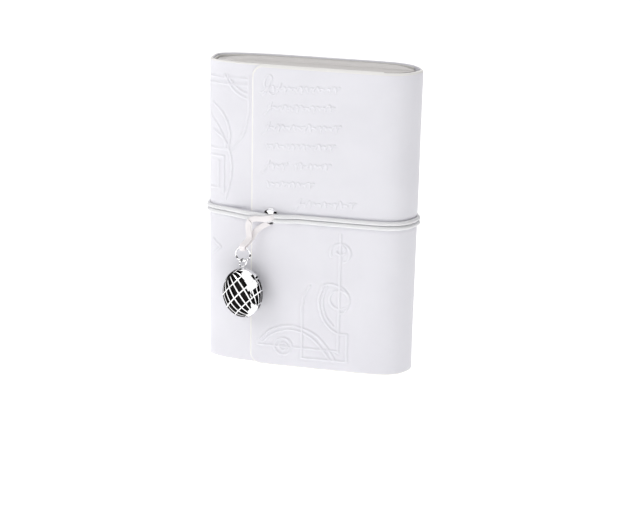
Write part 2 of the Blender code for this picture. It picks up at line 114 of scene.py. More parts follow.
def half_outline(half_w, half_t, side, x_from, x_to):
    """Dense plan points on one side of the middle plane, from x_from up to x_to."""
    steep = STEEP_SHARE * half_t
    points = []
    spine_x = -reach_at(steep, half_w, half_t, SPINE)
    edge_x = reach_at(steep, half_w, half_t, FORE_EDGE)
    if x_from <= -half_w:
        for depth in np.linspace(0, steep, 160):
            points.append((-reach_at(depth, half_w, half_t, SPINE), depth))
        x_from = spine_x
    last = min(x_to, edge_x)
    for x in np.linspace(x_from, last, 500):
        points.append((x, depth_at(x, half_w, half_t)))
    if x_to > edge_x:
        low = 0.0 if x_to >= half_w else depth_at(x_to, half_w, half_t)
        for depth in np.linspace(steep, low, 160):
            points.append((reach_at(depth, half_w, half_t, FORE_EDGE), depth))
    return [(x, MID_Y + side * depth) for x, depth in points]


def without_repeats(points):
    """A path with no two neighbours in the same place."""
    kept = [points[0]]
    for point in points[1:]:
        if math.dist(point, kept[-1]) > 1e-6:
            kept.append(point)
    return np.array(kept)


# %% [markdown]
# ## Even steps along a line
# A grid of leather needs its points at chosen distances along the outline, fine where there is
# embossing and coarse elsewhere. The direction at each point comes from the line a little before
# and after it, so the normals turn smoothly round the folds.

# %% Place points along a line
NEARBY = 0.4 * MM


def at_places(places, along, values):
    """Values at places along a line, from the values at the line's own points."""
    return np.stack([np.interp(places, along, values[:, k]) for k in range(2)], axis=-1)


def resample(path, spacing):
    """Places points along a path, spacing(x, s) apart, and gives their left-hand normals too."""
    steps = np.linalg.norm(np.diff(path, axis=0), axis=1)
    along = np.concatenate([[0], np.cumsum(steps)])
    stops = [0.0]
    while stops[-1] < along[-1]:
        x = np.interp(stops[-1], along, path[:, 0])
        stops.append(stops[-1] + spacing(x, stops[-1]))
    stops = np.array(stops[:-1])
    stops *= along[-1] / stops[-1]
    ahead = at_places(np.minimum(stops + NEARBY, along[-1]), along, path)
    tangent = ahead - at_places(np.maximum(stops - NEARBY, 0), along, path)
    tangent /= np.linalg.norm(tangent, axis=1)[:, None]
    normals = np.column_stack([-tangent[:, 1], tangent[:, 0]])
    return at_places(stops, along, path), normals, stops


# %% [markdown]
# ## Shader arithmetic
# A material is a graph of nodes, and plain sums need a node each. This small class wraps
# a socket and overloads the arithmetic operators, so a mask can be written as 1 - grain * 0.5.

# %% A socket that does sums
class Socket:
    """An output socket on which Python arithmetic adds Math nodes."""

    def __init__(self, finish, socket):
        self.finish = finish
        self.socket = socket

    def sum_with(self, operation, first, second):
        node = self.finish.node("ShaderNodeMath", {"operation": operation}, {0: first, 1: second})
        return Socket(self.finish, node.outputs[0])

    def __add__(self, other):
        return self.sum_with("ADD", self, other)

    def __radd__(self, other):
        return self.sum_with("ADD", other, self)

    def __sub__(self, other):
        return self.sum_with("SUBTRACT", self, other)

    def __rsub__(self, other):
        return self.sum_with("SUBTRACT", other, self)

    def __mul__(self, other):
        return self.sum_with("MULTIPLY", self, other)

    def __rmul__(self, other):
        return self.sum_with("MULTIPLY", other, self)


# %% [markdown]
# Every other kind of node comes from one method, which takes the node's type, its settings and what
# goes into its sockets. Short methods on top of it name the few textures that the journal needs.

# %% A tree of nodes
class Graph:
    """A tree of shader nodes, with one method that makes every kind of node."""

    def __init__(self, tree):
        self.tree = tree

    def put(self, target, value):
        """Links a socket to another, or sets its constant."""
        if isinstance(value, Socket):
            self.tree.links.new(value.socket, target)
        else:
            target.default_value = value

    def node(self, kind, settings, inputs):
        """Adds a node: its settings are set first, and then its sockets."""
        node = self.tree.nodes.new(kind)
        for key, value in settings.items():
            setattr(node, key, value)
        for key, value in inputs.items():
            self.put(node.inputs[key], value)
        return node

    def out(self, kind, settings, inputs, output=0):
        return Socket(self, self.node(kind, settings, inputs).outputs[output])

    def place(self, kind="Object"):
        return self.out("ShaderNodeTexCoord", {}, {}, kind)

    def stretched(self, scale):
        return self.out("ShaderNodeMapping", {}, {"Vector": self.place(), "Scale": scale})

    def noise(self, scale, detail=3.0, roughness=0.55, vector=None):
        vector = vector or self.place()
        inputs = {"Vector": vector, "Scale": scale, "Detail": detail, "Roughness": roughness}
        return self.out("ShaderNodeTexNoise", {}, inputs, "Fac")

    def cells(self, scale):
        inputs = {"Vector": self.place(), "Scale": scale}
        return self.out("ShaderNodeTexVoronoi", {}, inputs, "Distance")

    def step_between(self, factor, from_low, from_high, to_low, to_high):
        """A soft step from one number to another as the factor rises."""
        inputs = {0: factor, 1: from_low, 2: from_high, 3: to_low, 4: to_high}
        return self.out("ShaderNodeMapRange", {"interpolation_type": "SMOOTHSTEP"}, inputs)

    def blend_colours(self, factor, first, second):
        inputs = {0: factor, 6: (*first, 1.0), 7: (*second, 1.0)}
        return self.out("ShaderNodeMix", {"data_type": "RGBA"}, inputs, 2)


# %% [markdown]
# A finish is one material: a Principled shader whose constants are set once, and whose colour,
# roughness and bump are fed by the node tree where they vary over the surface.

# %% A recipe for a finish
class Finish(Graph):
    """One material: a Principled shader, and the nodes that vary it over the surface."""

    def __init__(self, name, colour, roughness, metallic=0.0, **constants):
        self.material = bpy.data.materials.new(name)
        self.material.use_nodes = True
        super().__init__(self.material.node_tree)
        self.shader = self.tree.nodes["Principled BSDF"]
        self.feed("Base Color", (*colour, 1.0))
        self.feed("Roughness", roughness)
        self.feed("Metallic", metallic)
        for label, value in constants.items():
            self.feed(label.replace("_", " "), value)

    def feed(self, label, value):
        self.put(self.shader.inputs[label], value)

    def bump(self, height, strength, distance):
        inputs = {"Height": height, "Strength": strength, "Distance": distance}
        self.feed("Normal", self.out("ShaderNodeBump", {}, inputs))


# %% [markdown]
# ## Leather
# The cover is smooth white leather with a fine, tight grain. The grain is made of cells about half a
# millimetre across, with softer creases between them, and a slow drift in tone as real hide has.
# Bump carries the grain only, because everything larger, such as the embossing, is real geometry.

# %% White cover leather, its cut edge with a painted highlight, and the lace
COVER_WHITE = (0.825, 0.818, 0.862)
COVER_SHADE = (0.775, 0.768, 0.815)


def make_leather(name, light, dark, grain_scale, roughness):
    finish = Finish(name, light, roughness, Specular_IOR_Level=0.42, Coat_Roughness=0.35)
    drift = finish.noise(38.0, 4.0)
    pores = finish.cells(grain_scale)
    creases = finish.noise(grain_scale * 0.45, 5.0, 0.6)
    mottle = finish.step_between(drift, 0.35, 0.70, 0.0, 1.0) * 0.5 + (1 - creases) * 0.28
    finish.feed("Base Color", finish.blend_colours(mottle, light, dark))
    finish.feed("Roughness", roughness - 0.06 + creases * 0.12)
    finish.feed("Coat Weight", 0.06 + drift * 0.10)
    finish.bump(pores * -0.55 + creases * 0.6, 0.22, 0.06 * MM)
    return finish.material


leather = make_leather("cover_leather", COVER_WHITE, COVER_SHADE, 1700.0, 0.46)
# The cut edge is paler and warmer than the face: partly the colour of cut leather, partly a painted
# highlight of the light on the rounded edge.
cut_edge_with_highlight = make_leather("cut_edge_with_highlight", (0.90, 0.885, 0.865), (0.84, 0.82, 0.80), 2600.0, 0.70)
lace_leather = make_leather("lace_leather", (0.93, 0.895, 0.90), (0.85, 0.80, 0.81), 1300.0, 0.52)

# %% [markdown]
# ## Paper, thread and cord
# A page block shows its cut edges, so the paper is streaked along each sheet: a noise squeezed hard
# across the thickness of the block gives lines as thin as sheets. The sewing thread is waxed linen,
# and the cord is a round, slightly shiny elastic with a fine twist.

# %% Page paper, end paper, linen thread and elastic
def make_paper(name, light, dark, streak):
    finish = Finish(name, light, 0.82, Specular_IOR_Level=0.25)
    streaks = finish.noise(1.0, 3.0, 0.7, finish.stretched(streak))
    fibre = finish.noise(900.0, 4.0, 0.6)
    tone = finish.step_between(streaks, 0.30, 0.72, 0.0, 1.0)
    finish.feed("Base Color", finish.blend_colours(tone, dark, light))
    finish.feed("Roughness", 0.76 + fibre * 0.12)
    finish.bump(streaks + fibre * 0.3, 0.35, 0.05 * MM)
    return finish.material


page_edge = make_paper("page_edge", (0.83, 0.80, 0.795), (0.63, 0.605, 0.60), (14.0, 5200.0, 40.0))
page_paper = make_paper("page_paper", (0.80, 0.785, 0.765), (0.76, 0.745, 0.725), (240.0, 240.0, 240.0))
end_paper = make_paper("end_paper", (0.80, 0.79, 0.765), (0.74, 0.73, 0.70), (260.0, 260.0, 260.0))


def make_twisted(name, light, dark, pitch, roughness):
    """A cord or thread whose fibres run slantwise round it."""
    constants = {"Sheen_Weight": 0.15, "Sheen_Roughness": 0.4, "Specular_IOR_Level": 0.2}
    finish = Finish(name, light, roughness, **constants)
    wave = {"wave_type": "BANDS", "bands_direction": "DIAGONAL"}
    inputs = {"Vector": finish.place(), "Scale": pitch, "Distortion": 1.2, "Detail": 2.0}
    twist = finish.out("ShaderNodeTexWave", wave, inputs, "Fac")
    fibre = finish.noise(2600.0, 3.0)
    finish.feed("Base Color", finish.blend_colours(twist * 0.35 + fibre * 0.25, light, dark))
    finish.feed("Roughness", roughness - 0.05 + fibre * 0.1)
    finish.bump(twist * 0.7 + fibre * 0.4, 0.3, 0.08 * MM)
    return finish.material


cord_finish = make_twisted("white_elastic", (0.87, 0.87, 0.88), (0.77, 0.77, 0.79), 420.0, 0.5)
thread_finish = make_twisted("linen_thread", (0.78, 0.75, 0.69), (0.60, 0.57, 0.50), 900.0, 0.62)

# %% [markdown]
# ## Silver
# The stud and the charm are cast in white metal. The charm is polished on its high parts and
# blackened where the polishing wheel can't reach; on the stud, the same black is painted on some
# facets as painted dark reflections. The bright metal keeps faint cloudy marks in its roughness, the
# blackened recesses are nearly matt, and the drawn wire of the rings has kept dark spots of tarnish.

# %% Polished silver, tarnished wire, blackened recesses and painted dark reflections
def make_silver(name, light, dark, roughness, tarnish, stain_to=0.78):
    finish = Finish(name, light, roughness, 1.0)
    clouds = finish.noise(420.0, 4.0, 0.6)
    scratches = finish.noise(1.0, 3.0, 0.7, finish.stretched((900.0, 900.0, 3800.0)))
    stain = finish.step_between(clouds, 0.52, stain_to, 0.0, tarnish)
    finish.feed("Base Color", finish.blend_colours(stain, light, dark))
    finish.feed("Roughness", roughness + clouds * 0.08 + scratches * 0.05)
    finish.bump(scratches * 0.4 + clouds, 0.12, 0.03 * MM)
    return finish.material


silver = make_silver("polished_silver", (0.88, 0.88, 0.885), (0.35, 0.34, 0.33), 0.07, 0.35)
wire_silver = make_silver("drawn_silver_wire", (0.88, 0.88, 0.885), (0.02, 0.02, 0.02), 0.07, 1.0, 0.56)
# Near-black finish: real blackening in the charm's hollows, and painted dark reflections on the stud's
# facets.
blackening_and_painted_reflection = make_silver("blackened_silver", (0.012, 0.011, 0.011), (0.05, 0.045, 0.045), 0.38, 0.6)

# %% [markdown]
# ## From numbers to meshes
# Grids, tubes and straps repeat all over the journal, so each has one function. A tube or strap is
# a short cross-section carried along a smooth route; the route is drawn by a few points, and a
# Catmull-Rom curve fills in the rest.

# %% A mesh, and a smooth route
UP = Vector((0, 0, 1))


def new_object(name, verts, faces, finishes, sharp_angle=40):
    """A smooth-shaded object from vertices and faces, with its normals turned outwards."""
    mesh = bpy.data.meshes.new(name)
    mesh.from_pydata([tuple(v) for v in verts], [], [tuple(f) for f in faces])
    for finish in finishes:
        mesh.materials.append(finish)
    bm = bmesh.new()
    bm.from_mesh(mesh)
    bmesh.ops.recalc_face_normals(bm, faces=bm.faces)
    bm.to_mesh(mesh)
    bm.free()
    mesh.shade_smooth()
    mesh.set_sharp_from_angle(angle=math.radians(sharp_angle))
    obj = bpy.data.objects.new(name, mesh)
    bpy.context.scene.collection.objects.link(obj)
    return obj


def smooth_route(points, step):
    """Points about a step apart on a Catmull-Rom curve through the given ones."""
    points = [Vector(p) for p in points]
    route = []
    for i in range(len(points) - 1):
        before = points[max(i - 1, 0)]
        after = points[min(i + 2, len(points) - 1)]
        a, b = points[i], points[i + 1]
        count = max(1, round((b - a).length / step))
        for j in range(count):
            s = j / count
            spot = a * (2 * s**3 - 3 * s**2 + 1) + b * (3 * s**2 - 2 * s**3)
            spot += (b - before) / 2 * (s**3 - 2 * s**2 + s) + (after - a) / 2 * (s**3 - s**2)
            route.append(spot)
    route.append(points[-1])
    return route


# %% [markdown]
# Every swept piece is a row of rings, one at each point of its route. Quads join each ring to the
# next, and a flat cap closes each end, so that the piece is one solid body.

# %% Sweep a section along a route
def ring_faces(rings, closed=False):
    """Quads between rows of vertex numbers, and flat caps at the ends of an open row."""
    faces = []
    count = len(rings[0])
    pairs = list(zip(rings, rings[1:])) + ([(rings[-1], rings[0])] if closed else [])
    for a, b in pairs:
        for j in range(count):
            k = (j + 1) % count
            faces.append((a[j], a[k], b[k], b[j]))
    if not closed:
        faces.append(tuple(rings[0]))
        faces.append(tuple(reversed(rings[-1])))
    return faces


def sweep(name, route, sections, across, finishes, closed=False):
    """Carries a cross-section along a route.

    sections(i) gives (sideways, outward) points, and across(i) the sideways direction there.
    """
    verts, rings = [], []
    last = len(route) - 1
    for i, centre in enumerate(route):
        if closed:
            along = route[(i + 1) % len(route)] - route[i - 1]
        else:
            along = route[min(i + 1, last)] - route[max(i - 1, 0)]
        along.normalize()
        side = across(i)
        side = (side - along * side.dot(along)).normalized()
        out = along.cross(side)
        ring = []
        for u, v in sections(i):
            ring.append(len(verts))
            verts.append(centre + side * u + out * v)
        rings.append(ring)
    return new_object(name, verts, ring_faces(rings, closed), finishes)


def round_section(radius, sides, ribs=0, depth=0.0, turn=0.0):
    """Points round a circle, with fine ribs that stand for the cord's twisted cover."""
    points = []
    for j in range(sides):
        angle = math.tau * j / sides
        reach = radius * (1 + depth * math.cos(ribs * angle + turn))
        points.append((reach * math.cos(angle), reach * math.sin(angle)))
    return points


# %% [markdown]
# ## Embossing
# Patterns are pressed into the leather from behind, so each line is a low, soft ridge. The pattern
# here is a plain one: rows of looping pen waves, and arcs, circles and rules such as a draughtsman
# strikes with a compass. Every line is a list of points in millimetres on the cover, measured from
# the middle of its width and from the bottom, and the ridge's height falls off smoothly with the
# distance from that line.

# %% Arcs, smooth lines and pen waves
ARC_STEPS, LINE_STEP, POINTS_PER_LOOP = 28, 0.8, 14


def arc(cx, cz, radius, start, stop):
    """Points on part of a circle, in degrees from +X towards +Z."""
    points = []
    for i in range(ARC_STEPS + 1):
        angle = math.radians(start + (stop - start) * i / ARC_STEPS)
        points.append((cx + radius * math.cos(angle), cz + radius * math.sin(angle)))
    return points


def through(points):
    """A smooth line through a few (x, z) points."""
    return [(p.x, p.y) for p in smooth_route([(x, z, 0) for x, z in points], LINE_STEP)]


def pen_wave(x_from, x_to, base, seed):
    """One row of a flowing pen flourish: loops of changing height, which spell nothing."""
    length = x_to - x_from
    rise = length * 0.055
    loops = max(4, round(length / 2.9))
    points = []
    for i in range(loops * POINTS_PER_LOOP + 1):
        turn = i / POINTS_PER_LOOP
        swell = 0.75 + 0.45 * math.sin(2.3 * turn + seed)
        swell += 0.55 * max(math.sin(1.1 * turn + 2 * seed), 0) ** 4
        high = 1.25 * swell * math.cos(math.tau * turn + 0.5)
        x = x_from + length * turn / loops + 0.62 * math.sin(math.tau * turn) + 0.35 * high
        z = base + rise * turn / loops + high
        points.append((x, z))
    return points


# %% [markdown]
# The rows of pen waves stand where a motto would, and a few rows open with a swash: a short stroke
# that starts below the row and swings up into it. The first row opens with a larger loop.

# %% Rows of pen flourishes
FLOURISH_ROWS = (
    (-23.4, 15.6, 157.6),
    (-22.2, 13.0, 147.4),
    (-23.0, 16.4, 136.6),
    (-23.4, 13.6, 126.2),
    (-23.0, -12.0, 115.4),
    (-7.6, 11.4, 116.4),
    (-22.8, 2.8, 105.2),
    (-5.4, 25.6, 95.4),
)
flourishes = [pen_wave(a, b, z, 1.3 * i) for i, (a, b, z) in enumerate(FLOURISH_ROWS)]
opening = [(-27.0, 155.6), (-23.6, 157.4), (-20.6, 163.6), (-23.0, 165.0), (-24.4, 159.0)]
swashes = [through(opening + [(-19.4, 154.6), (-15.6, 161.0)])]
for x_from, _, base in (FLOURISH_ROWS[i] for i in (0, 1, 2, 4, 7)):
    swashes.append(through([(x_from - 2.0, base - 3.4), (x_from, base - 1.2), (x_from + 1.6, base + 3.0)]))

# %% [markdown]
# The figures are drawn with ruler and compass. On the flap two circles hang on an upright rule, over
# an L of two rules and a low double arch; on the front cover a frame and three leaf-like curves run
# out from the spine.

# %% Rules, circles and arches
wide_arch = [(-26.2, 14.6), (-19.6, 21.4), (-10.4, 24.8), (-2.0, 24.0), (5.6, 20.6), (12.0, 14.0)]
narrow_arch = [(-24.0, 14.2), (-18.0, 19.4), (-10.4, 22.4), (-3.0, 21.8), (3.8, 18.4), (9.6, 12.4)]
flap_lines = [
    [(18.3, 80.0), (18.3, 11.6)],
    arc(18.3, 69.6, 5.4, -70, 200),
    arc(18.3, 71.4, 2.6, -150, 60),
    arc(18.3, 42.8, 5.4, -180, 180),
    through([(9.6, 50.6), (14.0, 51.4), (20.6, 49.0), (24.0, 42.6), (21.6, 36.4), (18.3, 34.6)]),
    through([(9.6, 50.6), (7.2, 41.4), (9.2, 31.6), (14.2, 25.0), (19.6, 22.4)]),
    through([(11.2, 49.4), (9.0, 41.4), (10.8, 32.8), (15.0, 27.0)]),
    [(23.0, 22.8), (23.2, 6.6), (-2.4, 6.4)],
    [(18.8, 22.8), (23.0, 22.8)],
    [(-2.2, 36.4), (-2.0, 6.4)],
    through([(-2.2, 36.4), (-1.0, 43.0), (2.0, 49.4)]),
    through(wide_arch + [(16.4, 6.8)]),
    through(narrow_arch + [(13.6, 6.8)]),
    [(-26.8, 12.2), (18.3, 12.4)],
    arc(-12.6, 12.3, 4.9, -180, 180),
    arc(-12.6, 12.3, 2.2, 20, 340),
]
cover_lines = [
    [(-56.0, 161.0), (-33.6, 161.6)],
    [(-56.0, 157.6), (-33.6, 158.2)],
    [(-33.6, 163.4), (-33.8, 150.6)],
    through([(-47.0, 162.6), (-43.4, 156.4), (-38.6, 152.4), (-33.4, 150.8)]),
    through([(-45.6, 162.6), (-42.0, 158.0), (-38.0, 154.8), (-33.4, 153.4)]),
    through([(-33.4, 150.6), (-33.8, 142.0), (-36.4, 131.0), (-43.0, 121.6)]),
    through([(-54.0, 146.6), (-48.6, 142.0), (-45.4, 136.0), (-44.0, 129.0), (-45.4, 121.6)]),
    through([(-55.4, 139.6), (-50.6, 133.4), (-47.4, 127.2), (-46.2, 121.6)]),
    through([(-53.6, 131.6), (-47.2, 127.0), (-43.6, 118.0), (-43.2, 108.0), (-46.4, 93.6)]),
    [(-55.6, 121.6), (-46.2, 121.8)],
    [(-55.6, 117.4), (-47.4, 117.6)],
    [(-47.6, 117.4), (-47.6, 97.4)],
    [(-50.6, 114.6), (-50.6, 99.4), (-55.2, 99.2)],
    [(-54.0, 69.4), (-49.4, 65.4), (-54.0, 61.0)],
]
print(len(flourishes + swashes + flap_lines + cover_lines), "embossed lines")

# %% [markdown]
# The height of the ridges is worked out for all the points of the leather at once. For each line,
# only the points near it are compared with its segments, which keeps this to a second or two.

# %% Height of the leather over the ornament
RIDGE_REACH = 2.5


def distance_to_line(x, z, line):
    """Distance of each point from a polyline, and infinity far away from it."""
    line = np.array(line)
    best = np.full(x.shape, np.inf)
    near = (x > line[:, 0].min() - RIDGE_REACH) & (x < line[:, 0].max() + RIDGE_REACH)
    near &= (z > line[:, 1].min() - RIDGE_REACH) & (z < line[:, 1].max() + RIDGE_REACH)
    px, pz = x[near], z[near]
    found = np.full(px.shape, np.inf)
    for (ax, az), (bx, bz) in zip(line, line[1:]):
        dx, dz = bx - ax, bz - az
        share = np.clip(((px - ax) * dx + (pz - az) * dz) / (dx**2 + dz**2 + 1e-12), 0, 1)
        found = np.minimum(found, np.hypot(px - ax - share * dx, pz - az - share * dz))
    best[near] = found
    return best


def ridges(x, z, lines, height, width):
    """Soft ridges, each with a slight dip in the leather on both sides of it."""
    total = np.zeros(x.shape)
    for line in lines:
        away = distance_to_line(x, z, line)
        ridge = height * np.exp(-((away / width) ** 2))
        dip = 0.35 * height * np.exp(-(((away - 2.1 * width) / width) ** 2))
        rise = ridge - dip
        total = np.where(np.abs(rise) > np.abs(total), rise, total)
    return total


# %% [markdown]
# The leather is never quite flat. Slow waves a few centimetres long lift it by a tenth of a
# millimetre, and the doubled cord sinks into it all the way round, except beside the stud.

# %% Slow waves, and the dent under the cord
CORD_Z = (middle("cord_back_upper").z + middle("cord_back_lower").z) / 2
STUD_X = middle("stud_cap").x
SUNK = 0.75 * MM
DENT_HALF = 3.4 * MM


def slow_waves(x, z):
    """The slight unevenness of a soft cover, in metres."""
    wave = 0.5 * np.sin(x / 0.019 + 1.1) * np.sin(z / 0.027 + 0.4)
    wave += 0.35 * np.sin(x / 0.011 - z / 0.016) + 0.25 * np.sin(z / 0.009 + x / 0.030)
    return 0.10 * MM * wave


def pressed_by_cord(x, z, front):
    """The cord's pull presses the leather in along its line, but not where the stud holds it off."""
    held_off = np.clip((np.abs(x - STUD_X) / MM - 8) / 7, 0, 1)
    dent = SUNK * 1.1 * np.exp(-(((z - CORD_Z) / DENT_HALF) ** 4))
    return -dent * np.where(front, held_off, 1)


# %% [markdown]
# ## The leather wrap
# A sheet of leather is two grids of points, one for each face, joined by a rounded cut edge. The
# rounding is in the same height map: near an edge both faces sink towards each other along a
# quarter circle. The flap's corners are rounded by letting each row of the grid start a little
# later as it nears the top or the bottom.

# %% Rounded edges, and the faces of a double grid
INNER_ROUND = 0.3 * MM


def edge_sink(distance, rounding):
    """How far a face sinks at a distance from the cut edge."""
    near = np.clip(1 - distance / rounding, 0, 1)
    return rounding * (1 - np.sqrt(1 - near**2))


def lead_in(rounding):
    """Places close together across a rounded edge."""
    return [0.0, 0.06 * rounding, 0.22 * rounding, 0.5 * rounding, rounding]


def edge_stops(total, fine, rounding):
    """Places along a length: close ones at each end for the rounded edge, and even ones between."""
    count = max(2, round((total - 2 * rounding) / fine))
    inside = list(np.linspace(rounding, total - rounding, count + 1))[1:-1]
    return np.array(lead_in(rounding) + inside + [total - d for d in reversed(lead_in(rounding))])


def two_layers(rows, columns):
    """Faces of two grids of points back to back, and of the strip that joins their rims."""
    layer = rows * columns
    front = []
    for i in range(rows - 1):
        for a in range(i * columns, (i + 1) * columns - 1):
            front.append((a, a + 1, a + columns + 1, a + columns))
    back = [tuple(layer + v for v in reversed(face)) for face in front]
    rim = list(range(columns)) + [(i + 1) * columns - 1 for i in range(1, rows)]
    rim += list(range(layer - 2, layer - columns - 1, -1)) + [i * columns for i in range(rows - 2, 0, -1)]
    strip = [(a, b, b + layer, a + layer) for a, b in zip(rim, rim[1:] + rim[:1])]
    return front, back, strip


# %% [markdown]
# A panel's path is its outer face in plan. lift(x, z, s) says how far the embossing, the waves and
# the dent raise that face at a place, and one more width says how wide a strip at the edge gets the
# paler cut-edge finish, which is partly the colour of cut leather and partly a painted highlight.

# %% Build one panel of leather along a path in plan
def leather_panel(name, path, outward, spacing, row_step, lift, rounding, pale_edge_width, corner=0.0):
    """A sheet of leather along a plan path; outward is 1 if its outer face is on the path's left."""
    points, normals, along = resample(path, spacing)
    keep = np.array(lead_in(rounding) + [a for a in along if a > rounding + 0.1 * MM])
    points = at_places(keep, along, points)
    normals = at_places(keep, along, normals * outward)
    rows = edge_stops(HEIGHT, row_step, rounding)
    from_edge = np.minimum(rows, HEIGHT - rows)
    start, fade = 0 * rows, 0 * keep
    if corner:
        start = corner - np.sqrt(corner**2 - np.maximum(corner - from_edge, 0) ** 2)
        fade = np.clip(1 - keep / (3 * corner), 0, 1)
    moved = keep[None, :] + start[:, None] * fade[None, :]
    edge = np.minimum(moved - start[:, None], from_edge[:, None])
    if corner:
        cx, cz = corner - moved, corner - from_edge[:, None]
        edge = np.where((cx > 0) & (cz > 0), np.maximum(corner - np.hypot(cx, cz), 0), edge)
    edge = np.maximum(edge, 0)
    spots, facing = at_places(moved, keep, points), at_places(moved, keep, normals)
    z = np.repeat(rows[:, None], len(keep), axis=1)
    out = lift(spots[..., 0], z, moved) * np.clip(edge / (3 * MM), 0, 1) - edge_sink(edge, rounding)
    verts = []
    for height in (out, -LEATHER + edge_sink(edge, INNER_ROUND)):
        place = spots + facing * height[..., None]
        verts.append(np.concatenate([place, z[..., None]], axis=-1).reshape(-1, 3))
    front, back, strip = two_layers(*z.shape)
    panel = new_object(name, np.concatenate(verts), front + back + strip, [leather, cut_edge_with_highlight], 55)
    # The rim and a narrow strip of face beside it get the paler cut-edge finish: partly the colour of cut
    # leather, partly a painted highlight.
    in_pale_edge = (edge[:-1, :-1] + edge[1:, 1:]) / 2 < pale_edge_width
    gets_pale_edge = list(in_pale_edge.reshape(-1)) + [False] * len(back) + [True] * len(strip)
    panel.data.polygons.foreach_set("material_index", np.array(gets_pale_edge, dtype=np.int32))
    return panel


# %% [markdown]
# The wrap is one hide, but it folds at the spine and at the fore-edge, and a mesh may bend across
# one joint only. It is cut in two at the middle of the back, where it never moves. Along the path,
# points are close only where there is work to show.

# %% Front cover, spine and the left half of the back
FINE, COARSE = 0.36 * MM, 1.6 * MM
cover_path = half_outline(HALF_W, FRONT_T, -1, -HALF_W, FRONT_END_X)[::-1]
cover_path += half_outline(HALF_W, HALF_T, 1, -HALF_W, 0.0)
cover_path = without_repeats(cover_path)


def cover_spacing(x, s):
    """Fine from the flap's free edge to a little past the spine."""
    return FINE if FRONT_END_X - FLAP_FREE_X <= s < FRONT_END_X + HALF_W + 12 * MM else COARSE


def cover_lift(x, z, s):
    strip = ridges(x / MM, z / MM, cover_lines, 0.42, 0.48) * MM
    strip = np.where(s < FRONT_END_X + HALF_W + 6 * MM, strip, 0)
    on_front = s < FRONT_END_X + HALF_W
    waves = slow_waves(x, z) + pressed_by_cord(x, z, on_front)
    under_flap = np.clip((FLAP_FREE_X - x) / (4 * MM), 0, 1)
    return (strip + waves) * np.where(on_front, under_flap, 1)


cover = leather_panel(
    "cover_leather_front",
    cover_path,
    1,
    cover_spacing,
    row_step=0.55 * MM,
    lift=cover_lift,
    rounding=0.6 * MM,
    pale_edge_width=0.45 * MM,
)
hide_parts("front_cover", "back_cover")
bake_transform(cover)
print("front cover and spine:", len(cover.data.vertices), "points")

# %% [markdown]
# The flap carries the finest work, so its grid is the closest. Its free edge has been pared thin and
# rounded, and a narrow strip along it is paler down the front of the book: partly the colour of the
# cut leather and partly a painted highlight where the rounded edge faces the light.

# %% Flap, fore-edge and the right half of the back
flap_path = half_outline(HALF_W, HALF_T, -1, FLAP_FREE_X, HALF_W)
flap_path += half_outline(HALF_W, HALF_T, 1, 0.0, HALF_W)[::-1]
flap_path = without_repeats(flap_path)
FLAP_CORNER = 6.2 * MM
FINE_TO, WORK_TO = 62 * MM, 75 * MM


def flap_spacing(x, s):
    """Fine over the embossing, which ends two thirds of the way across the front."""
    return FINE if s < FINE_TO else COARSE


def flap_lift(x, z, s):
    work = ridges(x / MM, z / MM, flap_lines, 0.42, 0.50)
    work += ridges(x / MM, z / MM, flourishes + swashes, 0.36, 0.36)
    dent = pressed_by_cord(x, z, s < HALF_W - FLAP_FREE_X)
    return np.where(s < WORK_TO, work, 0) * MM + slow_waves(x + 0.02, z) + dent


flap = leather_panel(
    "cover_leather_flap",
    flap_path,
    -1,
    flap_spacing,
    row_step=0.4 * MM,
    lift=flap_lift,
    rounding=1.0 * MM,
    pale_edge_width=1.1 * MM,
    corner=FLAP_CORNER,
)
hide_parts("flap")
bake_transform(flap)
print("flap and fore-edge:", len(flap.data.vertices), "points")

# %% [markdown]
# ## The sheets
# The journal is one thick section: sheets folded once and nested, so every sheet is a long U in
# plan, round the spine and open at the fore-edge. The inner sheets reach further out, which makes
# the wedge. Each sheet here is a real strip with its own slight errors in height and length, and a
# group of them stands in for a gathering of the working model.

# %% Plan of one folded sheet
rng = np.random.default_rng(7)
GATHERINGS = 4
SHEETS_EACH = 9
LINING = LEATHER + 0.5 * MM + 0.9 * MM
WEDGE_W, WEDGE_T = HALF_W - LINING, HALF_T - LINING
FOLD_BEND = 0.06 * MM
CENTRE_GAP = FOLD_BEND + 0.03 * MM
THINNEST = 0.16 * MM
SHEET_LOW, SHEET_HIGH = (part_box("sheets_rear_1")[k][2] for k in (0, 1))


def folded_sheet(share, thick_share, trim):
    """Outer and inner plan lines of one folded sheet, share of the way in from the cover."""
    lines = []
    for part in (share, share + thick_share):
        tip = WEDGE_W - part * (HALF_T + FRONT_T - 2 * LINING) / 2
        line = []
        for side, half_t in ((-1, FRONT_T), (1, HALF_T)):
            deep = max((half_t - LINING - CENTRE_GAP) * (1 - part), THINNEST)
            end = reach_at(deep, WEDGE_W, WEDGE_T, FORE_EDGE) - 0.8 * MM - trim
            leg = []
            for x in np.linspace(end, 0, 12):
                wedge = (1 - min(x / WEDGE_W, 1) ** FORE_EDGE[0]) ** (1 / FORE_EDGE[1])
                leg.append((x, CENTRE_GAP + deep * wedge))
            for x in np.linspace(0, -STEEP_SHARE * tip, 10)[1:]:
                leg.append((x, CENTRE_GAP + depth_at(x, tip, deep)))
            steep = depth_at(-STEEP_SHARE * tip, tip, deep)
            for depth in np.linspace(steep, 0, 13)[1:-1]:
                leg.append((-reach_at(depth, tip, deep, SPINE), depth + CENTRE_GAP * depth / steep))
            leg = [(x, MID_Y + side * y) for x, y in leg]
            line += leg if side < 0 else [(-tip, MID_Y)] + leg[::-1]
        lines.append(line)
    return lines


# %% [markdown]
# The knife leaves the fore-edge and the ends streaked, so those faces get the edge finish, and the
# faces of the sheets stay plain. Round the spine the folds sit a little lower than the ends.

# %% Nested, folded sheets
FOLD_DROP, FOLD_FROM_X, FOLD_RUN = 0.9 * MM, -38 * MM, 12 * MM
EDGE_AREA = 80 * MM * MM


